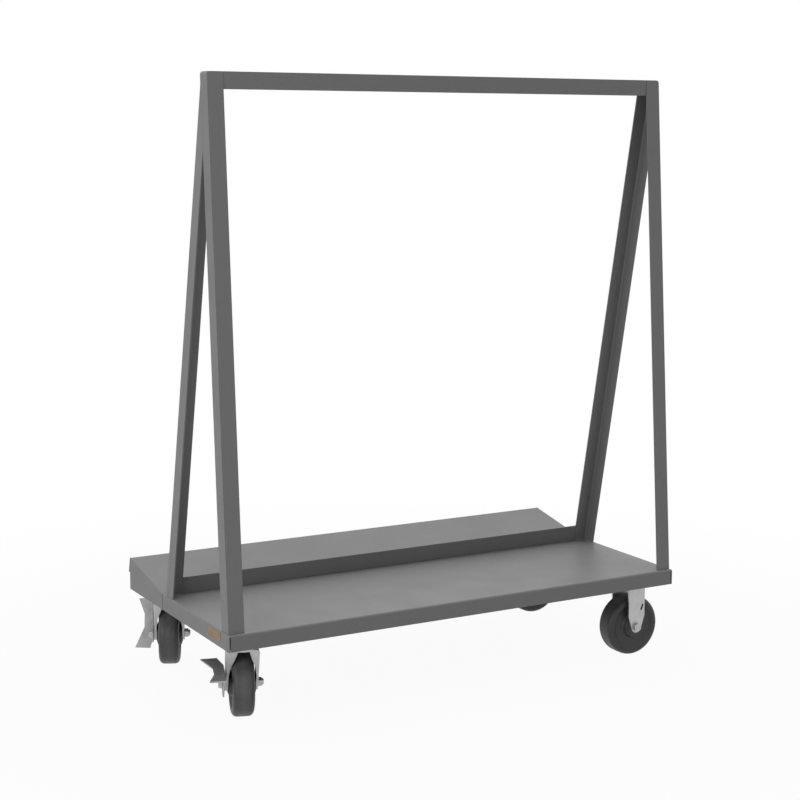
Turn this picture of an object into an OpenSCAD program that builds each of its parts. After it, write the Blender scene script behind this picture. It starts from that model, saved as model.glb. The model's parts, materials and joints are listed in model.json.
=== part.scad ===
// Drywall cart: a folded steel platform with a level front deck and a sloping rear ledge,
// an A-shaped frame of steel angle standing on it, two braked swivel casters on the left
// and two rigid casters on the right.
// Origin on the floor under the middle of the platform, +X to the rigid end, +Y to the ledge, +Z up.

/* [Platform] */
// Length of the platform, end to end
cart_len = 1219.2; // [900:0.1:1500]
// Depth of the platform, front to rear
cart_depth = 609.6; // [540:0.1:720]
// Depth of the level front deck
front_deck_depth = 387.3; // [360:0.1:430]
// Height of the turned-down edges
edge_h = 38.1; // [36:0.1:48]
// Thickness of the deck sheet
sheet_t = 2.7; // [1.5:0.1:3.5]
// Outside radius of the folds
bend_r = 4.5; // [3:0.1:8]
// Width of the open seams between folded edges
seam_gap = 2.2; // [0.5:0.1:3]

/* [Frame] */
// Height of the frame above the deck
frame_h = 1219.2; // [900:0.1:1500]
// Leg width of the steel angle
angle_w = 38.1; // [30:0.1:50]
// Thickness of the steel angle
angle_t = 3.2; // [2.5:0.1:6]
// Root fillet of the steel angle
angle_root_r = 3; // [1:0.1:6]
// Lean of the front legs from upright
front_lean = 4.27; // [1:0.01:8]
// Setback of the front legs from the front edge
leg_front_inset = 8; // [5:0.1:20]
// Setback of the rear legs from the back of the level deck
leg_rear_inset = 18; // [4:0.1:40]
// Setback of the legs from the platform ends
leg_end_inset = 3; // [0:0.1:10]
// Radius of the frame's rounded top corners
frame_corner_r = 7; // [2:0.5:15]
// Height of the stop plate at the back of the deck
stop_h = 44; // [25:0.5:60]

/* [Underframe] */
// Width of the caster channels
channel_w = 127; // [122:0.1:150]
// Thickness of the caster channels
channel_t = 3.2; // [2:0.1:5]
// Width of the deck stiffener
stiffener_w = 76.2; // [50:0.1:120]
// Height of the deck stiffener
stiffener_h = 31.8; // [20:0.1:33]
// Thickness of the rear bar
rear_bar_t = 4.8; // [3:0.1:8]

/* [Name plate] */
// Length of the bare name plate
label_len = 70; // [40:1:100]
// Height of the bare name plate
label_h = 20; // [12:0.5:26]
// Thickness of the bare name plate
label_t = 0.6; // [0.4:0.1:1.5]
// Setback of the name plate from the front edge
label_setback = 45.5; // [20:0.5:120]
// Setback of the name plate from the deck top
label_drop = 5; // [4:0.5:9]

/* [Wheels] */
// Diameter of the wheels
wheel_d = 152.4; // [125:0.1:180]
// Width of the tread
wheel_w = 50.8; // [40:0.1:54]
// Radius of the tread's shoulders
shoulder_r = 13; // [3:0.5:15]
// Length of the hub
hub_len = 60.3; // [57:0.1:61]
// Diameter of the hub
hub_d = 56; // [44:0.5:60]
// Inner diameter of the side recess
recess_in_d = 64; // [61:0.5:80]
// Outer diameter of the side recess
recess_out_d = 112; // [90:0.5:126]
// Depth of the side recess
recess_depth = 6; // [2:0.5:12]
// Diameter of the wheel's bore
wheel_bore_d = 28.6; // [25:0.1:36]
// Number of rollers in each wheel
roller_count = 12; // [8:1:13]

/* [Casters] */
// Distance from the platform ends to the caster centres
caster_end_inset = 71; // [68:0.1:120]
// Distance from the platform edges to the caster centres
caster_side_inset = 85; // [75:0.1:120]
// Space between the wheel and the fork's crown
crown_clear = 15; // [8:0.1:18]
// Height from the crown's underside to the mounting face
head_h = 23.1; // [22.8:0.1:36]
// Length of the caster plates along the cart
plate_len = 114.3; // [110:0.1:120]
// Depth of the caster plates across the cart
plate_w = 101.6; // [90:0.1:120]
// Thickness of the caster plates
plate_t = 6.35; // [4:0.05:8]
// Bolt spacing along the cart
bolt_span_x = 92.1; // [88:0.1:95]
// Bolt spacing across the cart
bolt_span_y = 66.7; // [60:0.1:76]
// Diameter of the caster bolts
bolt_d = 9.5; // [8:0.1:11]
// Space between the fork's legs
fork_gap = 63.5; // [62:0.1:70]
// Thickness of the forks
fork_t = 4.75; // [3:0.05:6]
// Shoulder radius of the forks
fork_bend_r = 9; // [7:0.5:14]
// Diameter of the axle bolts
axle_d = 12.7; // [10:0.1:14]
// Outer diameter of the axle sleeves
sleeve_d = 19; // [16:0.1:22]
// Thickness of the hub washers
hub_washer_t = 1.3; // [0.8:0.1:1.4]

/* [Swivel casters] */
// Distance the wheel trails behind the kingpin
swivel_trail = 38; // [25:0.1:45]
// Reach of the crown ahead of the kingpin
crown_front = 31; // [26:0.5:40]
// Reach of the crown behind the kingpin
crown_rear = 36; // [28:0.5:42]
// Radius of the fork's end around the axle
swivel_leg_end_r = 17; // [14:0.5:22]
// Opening between the fork's front flanges at the top
front_flange_gap = 26; // [20:0.5:40]
// Length of the fork's front flanges
flange_len = 76; // [50:0.5:84]
// Diameter of the raceway
race_d = 74; // [64:0.5:84]
// Diameter of the circle of balls
ball_circle_d = 56; // [50:0.5:62]
// Diameter of the balls
ball_d = 7.9; // [5:0.1:9]
// Number of balls in each raceway
ball_count = 18; // [10:1:18]
// Height of the open gap in the raceway
race_gap = 3; // [2:0.1:4]
// Depth of the raceway under the plate
race_drop = 6; // [4:0.1:8]
// Diameter of the kingpin
kingpin_d = 12.7; // [10:0.1:16]
// Turn of the front left caster
front_left_turn = 19; // [-180:1:180]
// Turn of the rear left caster
rear_left_turn = 25; // [-180:1:180]

/* [Rigid casters] */
// Width of the rigid fork's legs
rigid_leg_w = 49; // [40:0.5:60]
// Height where the rigid fork's legs start to taper
rigid_taper_z = 104; // [95:0.5:120]
// Radius of the rigid fork's ends
rigid_leg_end_r = 15; // [12:0.5:20]
// Length of the slot in the rigid fork's legs
slot_len = 17; // [8:0.5:24]
// Width of the slot in the rigid fork's legs
slot_w = 5.5; // [3:0.5:8]
// Height of the slot above the axle
slot_up = 50; // [40:0.5:60]
// Sideways place of the slot
slot_side = 16; // [0:0.5:18]
// Tilt of the slot from upright
slot_tilt = 22; // [0:1:45]

/* [Brakes] */
// Thickness of the brake lever
lever_t = 3.2; // [2:0.1:5]
// Thickness of the brake cam
cam_t = 3; // [2:0.1:5]
// Diameter of the brake cam
cam_d = 34; // [28:0.5:40]
// Distance from the axle to the pedal
pedal_offset = 41; // [34:0.5:50]
// Reach of the pedal's upper tip from the wheel's middle
pedal_upper_reach = 78; // [70:0.5:90]
// Reach of the pedal's lower tip from the wheel's middle
pedal_lower_reach = 90; // [75:0.5:95]
// Reach of the pedal's waist from the wheel's middle
pedal_waist_reach = 65; // [56:0.5:72]
// Height of the pedal's upper tip above the axle
pedal_up = 79; // [60:0.5:84]
// Depth of the pedal's lower tip below the axle
pedal_down = 48; // [35:0.5:55]
// Widening of the pedal below its waist
pedal_waist_flare = 1; // [0:0.5:4]
// Drop from the pedal's upper tip to the top of the lever's web
pedal_web_drop = 8; // [4:0.5:16]
// Reach of the pedal's heel past the lever
pedal_heel_reach = 9; // [4:0.5:16]
// Drop of the pedal's heel below its lower tip
pedal_heel_drop = 2; // [0:0.5:6]
// Length of the lever's tail ahead of the axle
lever_tail = 30; // [22:0.5:36]
// Turn of the front left brake lever from pedal upright
front_left_brake = 96; // [0:1:96]
// Turn of the rear left brake lever from pedal upright
rear_left_brake = 0; // [0:1:96]

/* [Clearances] */
// Radial running clearance of pins and bores
run_clear = 0.06; // [0.02:0.01:0.1]
// Radial clearance of bolts in their holes
bolt_clear = 0.4; // [0.1:0.05:1]
// Gap between faces that turn past each other
face_clear = 0.3; // [0.2:0.05:0.5]

/* [Hidden] */
$fn = 64;

// Colours of the painted steel, zinc plate, bright hardware, moulded wheel and name plate
paint = [0.42, 0.42, 0.43];
zinc = [0.74, 0.75, 0.76];
bright = [0.62, 0.63, 0.65];
moulded = [0.13, 0.13, 0.14];
tan_plate = [0.68, 0.52, 0.32];

// Overshoot of cutting solids past the faces they cut
over = 2;
// Room left for the weld where one piece is cut to fit another
weld_gap = 0.5;

// Heights, from the floor up
axle_z = wheel_d / 2;
crown_z = wheel_d + crown_clear;
crown_top = crown_z + fork_t;
caster_h = crown_z + head_h;
deck_top = caster_h + edge_h;
deck_under = deck_top - sheet_t;
frame_top = deck_top + frame_h;

// Platform and frame lines, seen from the end
half_len = cart_len / 2;
half_depth = cart_depth / 2;
seam_y = front_deck_depth - half_depth;
front_foot_y = leg_front_inset - half_depth;
rear_foot_y = seam_y - leg_rear_inset;
front_top_y = front_foot_y + frame_h * tan(front_lean);
rail_rear_y = front_top_y + angle_w;
rear_lean = atan((rear_foot_y - rail_rear_y) / (frame_h - angle_w));
ledge_y = seam_y + seam_gap;
ledge_len = (half_depth - ledge_y - edge_h * sin(rear_lean)) / cos(rear_lean);
end_plate_y = ledge_y + ledge_len * cos(rear_lean);
end_plate_z = deck_top + ledge_len * sin(rear_lean);

// Frame and underframe lines, seen from the front
leg_x = half_len - leg_end_inset;
leg_inner_x = leg_x - angle_w;
caster_x = half_len - caster_end_inset;
caster_y = half_depth - caster_side_inset;
channel_front_y = sheet_t - half_depth;
channel_rear_y = end_plate_y - rear_bar_t;
stiffener_y = (seam_y - half_depth) / 2;
front_left = [-caster_x, -caster_y, 0];
rear_left = [-caster_x, caster_y, 0];
front_right = [caster_x, -caster_y, 0];
rear_right = [caster_x, caster_y, 0];
casters = [front_left, rear_left, front_right, rear_right];

// Caster hardware, sized from the bolts it goes with
bolt_hole_r = bolt_d / 2 + bolt_clear;
bolt_hex_r = bolt_d * 0.87;
bolt_head_h = bolt_d * 0.65;
bolt_nut_h = bolt_d * 0.88;
bolt_tip = 2;
washer_r = bolt_d * 1.09;
washer_t = 1.6;
axle_hole_r = axle_d / 2 + run_clear;
axle_hex_r = axle_d * 0.87;
axle_head_h = axle_d * 0.6;
axle_nut_h = axle_d * 0.75;
axle_collar_h = axle_d * 0.25;
axle_collar_r = axle_d * 0.66;
axle_tip = 1.5;
hub_washer_r = hub_d / 2 - 6;

// Fork and raceway, measured from the kingpin and the wheel's middle plane
fork_half = fork_gap / 2 + fork_t;
flange_set = 0.4;
flange_w = (fork_gap - front_flange_gap) / 2;
// Width of the front flanges on their way down, both as shares of the whole
flange_taper = [[0, 1], [0.14, 0.9], [0.38, 0.63], [0.54, 0.4], [0.65, 0.24], [0.76, 0.14], [1, 0.03]];
race_top = caster_h - plate_t - race_drop;
race_low = race_top - race_gap;
ball_z = race_top - race_gap / 2;
ball_groove_r = ball_d / 2 + run_clear;
kingpin_seat = race_top + 4.4;
kingpin_head_r = kingpin_d * 0.87;
kingpin_head_h = caster_h - kingpin_seat - 1.5;
kingpin_nut_h = 6;
kingpin_nut_r = kingpin_d * 0.82;
kingpin_recess_r = kingpin_head_r + 2;
axle_at = [0, swivel_trail, axle_z];
rigid_axle_at = [0, 0, axle_z];
rigid_strip_top = caster_h - plate_t / 2;

// Brake stack outside the left fork leg
lever_in = fork_half + cam_t + face_clear;
lever_out = lever_in + lever_t;
brake_washer_in = lever_out + face_clear;
brake_washer_out = brake_washer_in + washer_t;
brake_washer_r = axle_hex_r + 2;
lever_hub_r = cam_d / 2 - 2;

// Depth inside a round end at which its straight edges meet it
edge_blend = 0.05;

// Point a little inside a circle about c, where a line from p runs into the circle's edge,
// on the side given by 1 or -1
function tangent_point(p, c, r, side) =
    let (away = p - c)
    let (touch_r = r - edge_blend)
    let (turn = atan2(away[1], away[0]) + side * acos(touch_r / norm(away)))
    c + touch_r * [cos(turn), sin(turn)];

// Rectangle hanging from the X axis with both upper corners rounded
module top_rounded(w, h, r) {
    translate([-w / 2, -h]) square([w, h - r]);
    translate([r - w / 2, -h]) square([w - 2 * r, h]);
    for (side = [-1, 1]) {
        translate([side * (w / 2 - r), -r]) circle(r = r);
    }
}

// Rectangle hanging from the X axis with its far upper corner rounded
module far_rounded(run, h, r) {
    translate([0, -h]) square([run, h - r]);
    translate([0, -h]) square([run - r, h]);
    translate([run - r, -r]) circle(r = r);
}

// Outline drawn across the cart (Y, Z), drawn out along X
module along_x(len) {
    rotate([90, 0, 90]) linear_extrude(len) children();
}

// Outline drawn along the cart (X, Z), drawn out towards the front
module to_front(len) {
    rotate([90, 0, 0]) linear_extrude(len) children();
}

// Shape given for the left end, repeated on the end named by side
module on_end(side) {
    mirror([side > 0 ? 1 : 0, 0, 0]) children();
}

// Frame of the sloping ledge: Y up its slope, Z square to it
module on_ledge() {
    translate([0, ledge_y, deck_top]) rotate([rear_lean, 0, 0]) children();
}

// Space of the front deck, drawn in by inset and lengthened at its open sides by extra
module deck_space(inset, extra) {
    r = max(bend_r - inset, 0.3);
    depth = front_deck_depth - inset + extra;
    drop = edge_h - inset + extra;
    translate([0, seam_y + extra, deck_top - inset]) intersection() {
        to_front(depth) top_rounded(cart_len - 2 * inset, drop, r);
        translate([-half_len, 0, 0]) mirror([0, 1, 0]) along_x(cart_len) far_rounded(depth, drop, r);
    }
}

// Level deck folded down at the front and both ends, with open seams at its front corners
module front_deck() {
    color(paint) difference() {
        deck_space(0, 0);
        deck_space(sheet_t, over);
        for (side = [-1, 1]) {
            on_end(side) {
                translate([sheet_t - half_len, -half_depth - over, caster_h - over]) {
                    cube([seam_gap, sheet_t + over, edge_h - bend_r + over]);
                }
            }
        }
    }
}

// Sloping ledge folded down at the rear, with upright end plates
module rear_ledge() {
    color(paint) intersection() {
        union() {
            on_ledge() translate([-half_len, 0, 0]) along_x(cart_len) {
                difference() {
                    far_rounded(ledge_len, edge_h, bend_r);
                    translate([-over, -sheet_t]) {
                        far_rounded(ledge_len - sheet_t + over, edge_h, max(bend_r - sheet_t, 0.3));
                    }
                }
            }
            for (x = [-half_len, half_len - sheet_t]) {
                translate([x, 0, 0]) along_x(sheet_t) polygon([
                    [ledge_y, caster_h],
                    [end_plate_y, caster_h],
                    [end_plate_y, end_plate_z],
                    [ledge_y, deck_top]
                ]);
            }
        }
        on_ledge() translate([0, cart_depth, 0]) to_front(2 * cart_depth) top_rounded(cart_len, cart_depth, bend_r);
    }
}

// Flat bar that closes the rear of the platform between the end plates
module rear_bar() {
    color(paint) translate([sheet_t - half_len, channel_rear_y, caster_h]) {
        cube([cart_len - 2 * sheet_t, rear_bar_t, edge_h]);
    }
}

// Places of the four bolts around each caster centre
module at_bolts() {
    for (sx = [-1, 1], sy = [-1, 1]) {
        translate([sx * bolt_span_x / 2, sy * bolt_span_y / 2, 0]) children();
    }
}

// Folded channel, open upwards, that carries the two casters of one end
module caster_channel(x) {
    h = deck_under - caster_h;
    len = channel_rear_y - channel_front_y;
    color(paint) difference() {
        translate([x, channel_rear_y, caster_h]) to_front(len) mirror([0, 1]) {
            top_rounded(channel_w, h, bend_r);
        }
        translate([x, channel_rear_y + over, caster_h + channel_t]) to_front(len + 2 * over) mirror([0, 1]) {
            top_rounded(channel_w - 2 * channel_t, h, max(bend_r - channel_t, 0.3));
        }
        for (y = [-caster_y, caster_y]) {
            translate([x, y, caster_h - over]) at_bolts() cylinder(r = bolt_hole_r, h = channel_t + 2 * over);
        }
    }
}

module left_caster_channel() {
    caster_channel(-caster_x);
}

module right_caster_channel() {
    caster_channel(caster_x);
}

// Folded channel under the middle of the front deck, from one caster channel to the other
module deck_stiffener() {
    run = 2 * caster_x - channel_w;
    color(paint) translate([-run / 2, stiffener_y, deck_under - stiffener_h]) difference() {
        along_x(run) mirror([0, 1]) top_rounded(stiffener_w, stiffener_h, bend_r);
        translate([-over, 0, sheet_t]) along_x(run + 2 * over) mirror([0, 1]) {
            top_rounded(stiffener_w - 2 * sheet_t, stiffener_h, max(bend_r - sheet_t, 0.3));
        }
    }
}

// Length of steel angle standing up, its outer corner on the Z axis
module angle_bar(len) {
    linear_extrude(len) {
        square([angle_w, angle_t]);
        square([angle_t, angle_w]);
        translate([angle_t, angle_t]) difference() {
            square(angle_root_r);
            translate([angle_root_r, angle_root_r]) circle(r = angle_root_r);
        }
    }
}

// Frame of the left front leg: Z along the leg, X and Y across its flanges
module on_front_leg() {
    translate([-leg_x, front_foot_y, deck_top]) rotate([-front_lean, 0, 0]) children();
}

// Frame of the left rear leg: Z along the leg, Y square to its rear face
module on_rear_leg() {
    translate([-leg_x, rear_foot_y, deck_top]) rotate([rear_lean, 0, 0]) children();
}

// Level slice of space between the deck and a height
module above_deck(top) {
    translate([-half_len, -half_depth, deck_top]) cube([cart_len, cart_depth, top - deck_top]);
}

// Front leg of angle, cut level at both ends, with its outer top corner rounded
module front_leg(side) {
    color(paint) on_end(side) difference() {
        intersection() {
            on_front_leg() translate([0, 0, -angle_w]) angle_bar(frame_h + 3 * angle_w);
            above_deck(frame_top);
        }
        translate([-leg_x, 0, frame_top]) difference() {
            translate([-over, -half_depth, -frame_corner_r]) {
                cube([frame_corner_r + over, cart_depth, frame_corner_r + over]);
            }
            translate([frame_corner_r, half_depth + over, -frame_corner_r]) rotate([90, 0, 0]) {
                cylinder(r = frame_corner_r, h = cart_depth + 2 * over);
            }
        }
    }
}

// Rear leg of angle, coped against the front leg and ending under the top rail
module rear_leg(side) {
    color(paint) on_end(side) difference() {
        intersection() {
            on_rear_leg() translate([0, 0, -angle_w]) mirror([0, 1, 0]) angle_bar(frame_h + 3 * angle_w);
            above_deck(frame_top - angle_t);
        }
        on_front_leg() translate([-over, -cart_depth, 0]) {
            cube([angle_t + weld_gap + over, cart_depth + angle_w, frame_h + 3 * angle_w]);
        }
    }
}

module front_leg_left() {
    front_leg(-1);
}

module front_leg_right() {
    front_leg(1);
}

module rear_leg_left() {
    rear_leg(-1);
}

module rear_leg_right() {
    rear_leg(1);
}

// Top rail of angle, its front flange between the front legs and its top flange reaching over the
// rear legs, set back at both ends to clear the front legs' root fillets
module top_rail() {
    top_x = leg_x - angle_t;
    setback = angle_t / cos(front_lean) + angle_root_r + weld_gap;
    color(paint) translate([0, front_top_y, frame_top]) {
        translate([-leg_inner_x, 0, -angle_w]) cube([2 * leg_inner_x, angle_t, angle_w]);
        translate([-leg_inner_x, 0, -angle_t]) cube([2 * leg_inner_x, angle_w, angle_t]);
        translate([-top_x, setback, -angle_t]) cube([2 * top_x, angle_w - setback, angle_t]);
    }
}

// Plate standing on the back of the deck, in the plane of the rear legs
module stop_plate() {
    color(paint) intersection() {
        on_rear_leg() translate([angle_w, -angle_t, -angle_w]) {
            cube([2 * leg_inner_x, angle_t, angle_w + stop_h]);
        }
        above_deck(frame_top);
    }
}

// Bare plate on the left end of the platform
module name_plate() {
    color(tan_plate) {
        translate([-half_len - label_t, label_setback - half_depth, deck_top - label_drop - label_h]) {
            cube([label_t, label_len, label_h]);
        }
    }
}

// Hexagon with its flats across Y
module hex(r, h) {
    cylinder(r = r, h = h, $fn = 6);
}

module caster_bolts() {
    shank = channel_t + plate_t + washer_t + bolt_nut_h + bolt_tip;
    color(bright) for (at = casters) {
        translate([0, 0, caster_h - plate_t - bolt_head_h] + at) at_bolts() {
            hex(bolt_hex_r, bolt_head_h);
            translate([0, 0, bolt_head_h / 2]) cylinder(d = bolt_d, h = shank + bolt_head_h / 2);
        }
    }
}

module caster_washers() {
    color(bright) for (at = casters) {
        translate([0, 0, caster_h + channel_t] + at) at_bolts() difference() {
            cylinder(r = washer_r, h = washer_t);
            translate([0, 0, -over]) cylinder(r = bolt_hole_r, h = washer_t + 2 * over);
        }
    }
}

module caster_nuts() {
    color(bright) for (at = casters) {
        translate([0, 0, caster_h + channel_t + washer_t] + at) at_bolts() difference() {
            hex(bolt_hex_r, bolt_nut_h);
            translate([0, 0, -over]) cylinder(r = bolt_d / 2 + run_clear, h = bolt_nut_h + 2 * over);
        }
    }
}

// Flat caster plate with its four bolt holes, its top on the mounting face
module bolted_plate() {
    difference() {
        translate([-plate_len / 2, -plate_w / 2, caster_h - plate_t]) cube([plate_len, plate_w, plate_t]);
        translate([0, 0, caster_h - plate_t - over]) at_bolts() cylinder(r = bolt_hole_r, h = plate_t + 2 * over);
    }
}

// Groove that the balls run in
module ball_groove() {
    translate([0, 0, ball_z]) rotate_extrude() translate([ball_circle_d / 2, 0]) circle(r = ball_groove_r);
}

// Swivel caster's fixed plate with the upper half of the raceway
module swivel_top_plate() {
    color(zinc) difference() {
        union() {
            bolted_plate();
            translate([0, 0, race_top]) cylinder(d = race_d, h = race_drop + plate_t / 2);
        }
        ball_groove();
        translate([0, 0, kingpin_seat]) cylinder(r = kingpin_recess_r, h = caster_h);
        translate([0, 0, race_low]) cylinder(r = kingpin_d / 2 + run_clear, h = caster_h);
    }
}

// Kingpin, its head sunk in the plate and its tip in the nut under the crown
module swivel_kingpin() {
    tip = crown_z - face_clear - kingpin_nut_h;
    color(bright) {
        translate([0, 0, kingpin_seat]) hex(kingpin_head_r, kingpin_head_h);
        translate([0, 0, tip]) cylinder(d = kingpin_d, h = kingpin_seat + kingpin_head_h / 2 - tip);
    }
}

module swivel_kingpin_nut() {
    color(bright) translate([0, 0, crown_z - face_clear - kingpin_nut_h]) difference() {
        hex(kingpin_nut_r, kingpin_nut_h);
        translate([0, 0, -over]) cylinder(r = kingpin_d / 2 + run_clear, h = kingpin_nut_h + 2 * over);
    }
}

// Bent strip of a fork, seen along the wheel's path: crown above, legs at both sides
module fork_strip(top) {
    difference() {
        translate([0, top]) top_rounded(2 * fork_half, top, fork_bend_r);
        translate([0, top - fork_t]) top_rounded(fork_gap, top, fork_bend_r - fork_t);
    }
}

// Outline of the swivel fork from the side: the crown, tapering back to the axle
module swivel_side() {
    axle = [swivel_trail, axle_z];
    front = [-crown_front, crown_top];
    rear = [crown_rear, crown_top];
    translate(axle) circle(r = swivel_leg_end_r);
    polygon([
        front,
        tangent_point(front, axle, swivel_leg_end_r, 1),
        axle,
        tangent_point([crown_rear, crown_z], axle, swivel_leg_end_r, -1),
        [crown_rear, crown_z],
        rear
    ]);
}

// Flanges turned in along the front edges of the swivel fork's legs, wide under the crown
module front_flanges() {
    front = [-crown_front, crown_top];
    low = tangent_point(front, [swivel_trail, axle_z], swivel_leg_end_r, 1);
    lean = atan2(low[0] - front[0], front[1] - low[1]);
    root = fork_half - fork_t / 2;
    top = fork_t / 2 / cos(lean);
    translate([0, front[0], front[1]]) rotate([90 + lean, 0, 0]) translate([0, 0, -fork_t - flange_set]) {
        linear_extrude(fork_t) for (side = [-1, 1]) {
            polygon(concat(
                [[side * root, -top]],
                [for (at = flange_taper) [side * (fork_gap / 2 - at[1] * flange_w), -top - at[0] * flange_len]],
                [[side * root, -top - flange_len]]
            ));
        }
    }
}

// Swivel fork of one bent strip, with front flanges, the lower raceway and bores for kingpin and axle
module swivel_fork() {
    color(zinc) difference() {
        union() {
            intersection() {
                translate([0, 2 * crown_rear + swivel_trail, 0]) {
                    to_front(4 * crown_rear + 2 * swivel_trail) fork_strip(crown_top);
                }
                translate([-fork_half, 0, 0]) along_x(2 * fork_half) swivel_side();
            }
            front_flanges();
            translate([0, 0, crown_z + fork_t / 2]) {
                cylinder(d = race_d, h = race_low - crown_z - fork_t / 2);
            }
        }
        ball_groove();
        translate([0, 0, crown_z - over]) cylinder(r = kingpin_d / 2 + run_clear, h = head_h);
        translate(axle_at) rotate([0, 90, 0]) cylinder(r = axle_hole_r, h = 4 * fork_half, center = true);
    }
}

module swivel_balls() {
    color(bright) for (i = [0 : ball_count - 1]) {
        rotate([0, 0, i * 360 / ball_count]) translate([ball_circle_d / 2, 0, ball_z]) sphere(d = ball_d);
    }
}

// Axle bolt from left to right, with its head seated head_x out from the wheel's middle
module axle_bolt(head_x) {
    tip_x = fork_half + axle_nut_h + axle_collar_h + axle_tip;
    color(bright) rotate([0, 90, 0]) {
        translate([0, 0, -head_x - axle_head_h]) hex(axle_hex_r, axle_head_h);
        translate([0, 0, -head_x - axle_head_h / 2]) cylinder(d = axle_d, h = head_x + axle_head_h / 2 + tip_x);
    }
}

// Lock nut with its round collar, against the right fork leg
module axle_nut() {
    color(bright) translate([fork_half, 0, 0]) rotate([0, 90, 0]) difference() {
        union() {
            hex(axle_hex_r, axle_nut_h);
            cylinder(r = axle_collar_r, h = axle_nut_h + axle_collar_h);
        }
        translate([0, 0, -over]) cylinder(r = axle_hole_r, h = axle_nut_h + axle_collar_h + 2 * over);
    }
}

// Ring about the axle, starting at x
module axle_ring(x, outer_r, inner_r, len) {
    translate([x, 0, 0]) rotate([0, 90, 0]) difference() {
        cylinder(r = outer_r, h = len);
        translate([0, 0, -over]) cylinder(r = inner_r, h = len + 2 * over);
    }
}

module axle_sleeve() {
    color(bright) axle_ring(-fork_gap / 2, sleeve_d / 2, axle_hole_r, fork_gap);
}

module hub_washers() {
    inner_r = sleeve_d / 2 + run_clear;
    color(bright) for (x = [-fork_gap / 2, fork_gap / 2 - hub_washer_t]) {
        axle_ring(x, hub_washer_r, inner_r, hub_washer_t);
    }
}

// Half section of the wheel: rounded tread, side recesses, hub and bore
module wheel_profile() {
    bore_r = wheel_bore_d / 2;
    slope = recess_depth / 2;
    difference() {
        union() {
            translate([bore_r, -wheel_w / 2]) square([wheel_d / 2 - shoulder_r - bore_r, wheel_w]);
            translate([bore_r, shoulder_r - wheel_w / 2]) square([wheel_d / 2 - bore_r, wheel_w - 2 * shoulder_r]);
            for (side = [-1, 1]) {
                translate([wheel_d / 2 - shoulder_r, side * (wheel_w / 2 - shoulder_r)]) circle(r = shoulder_r);
            }
            translate([bore_r, -hub_len / 2]) square([hub_d / 2 - bore_r, hub_len]);
        }
        for (side = [-1, 1]) {
            polygon([
                [recess_in_d / 2 - slope, side * (wheel_w / 2 + 0.01)],
                [recess_out_d / 2 + slope, side * (wheel_w / 2 + 0.01)],
                [recess_out_d / 2 - slope, side * (wheel_w / 2 - recess_depth)],
                [recess_in_d / 2, side * (wheel_w / 2 - recess_depth)]
            ]);
        }
    }
}

module wheel() {
    color(moulded) rotate([0, 90, 0]) rotate_extrude($fn = 128) wheel_profile();
}

// Loose rollers between the sleeve and the wheel's bore
module rollers() {
    pitch_r = (sleeve_d + wheel_bore_d) / 4;
    roller_r = (wheel_bore_d - sleeve_d) / 4 - run_clear;
    len = hub_len - 2 * face_clear;
    color(bright) rotate([0, 90, 0]) for (i = [0 : roller_count - 1]) {
        rotate([0, 0, i * 360 / roller_count]) translate([pitch_r, 0, -len / 2]) cylinder(r = roller_r, h = len);
    }
}

// Fixed cam disc between the fork leg and the lever
module brake_cam() {
    color(bright) axle_ring(-fork_half - cam_t, cam_d / 2, axle_hole_r, cam_t);
}

module brake_washer() {
    color(bright) axle_ring(-brake_washer_out, brake_washer_r, axle_hole_r, washer_t);
}

// Lever plate from the tail ahead of the axle to the pedal behind it, with the pedal upright
module lever_outline() {
    circle(r = lever_hub_r);
    polygon([
        [-lever_tail, -lever_hub_r],
        [-lever_tail, lever_hub_r * 0.6],
        [-lever_hub_r / 2, lever_hub_r * 1.4],
        [pedal_offset - lever_t, pedal_up - pedal_web_drop],
        [pedal_offset, pedal_up - pedal_web_drop],
        [pedal_offset, -lever_hub_r * 0.6],
        [lever_hub_r, -lever_hub_r]
    ]);
}

// Swallow-tailed pedal, seen along the wheel's path
module pedal_outline() {
    polygon([
        [-lever_in, pedal_up],
        [-pedal_upper_reach, pedal_up],
        [-pedal_waist_reach, pedal_up / 2],
        [-pedal_waist_reach - pedal_waist_flare, pedal_up / 16],
        [-pedal_lower_reach, -pedal_down],
        [-lever_out - pedal_heel_reach, -pedal_down - pedal_heel_drop],
        [-lever_in, -lever_hub_r * 0.6]
    ]);
}

// Brake lever about the axle
module brake_lever(turn) {
    color(zinc) rotate([turn, 0, 0]) difference() {
        union() {
            translate([-lever_out, 0, 0]) along_x(lever_t) lever_outline();
            translate([0, pedal_offset, 0]) to_front(lever_t) pedal_outline();
        }
        rotate([0, 90, 0]) cylinder(r = axle_hole_r, h = 4 * lever_out, center = true);
    }
}

// Frames of the two swivel casters and of the rigid ones, with the wheel's path along Y
module at_front_left() {
    translate(front_left) rotate([0, 0, -front_left_turn]) children();
}

module at_rear_left() {
    translate(rear_left) rotate([0, 0, -rear_left_turn]) children();
}

module rigid_at(centre) {
    translate(centre) rotate([0, 0, 90]) children();
}

module front_left_top_plate() {
    translate(front_left) swivel_top_plate();
}

module front_left_kingpin() {
    translate(front_left) swivel_kingpin();
}

module front_left_kingpin_nut() {
    translate(front_left) swivel_kingpin_nut();
}

module front_left_fork() {
    at_front_left() swivel_fork();
}

module front_left_balls() {
    at_front_left() swivel_balls();
}

module front_left_axle_bolt() {
    at_front_left() translate(axle_at) axle_bolt(brake_washer_out);
}

module front_left_axle_nut() {
    at_front_left() translate(axle_at) axle_nut();
}

module front_left_axle_sleeve() {
    at_front_left() translate(axle_at) axle_sleeve();
}

module front_left_hub_washers() {
    at_front_left() translate(axle_at) hub_washers();
}

module front_left_brake_cam() {
    at_front_left() translate(axle_at) brake_cam();
}

module front_left_brake_washer() {
    at_front_left() translate(axle_at) brake_washer();
}

module front_left_brake_lever() {
    at_front_left() translate(axle_at) brake_lever(front_left_brake);
}

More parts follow.
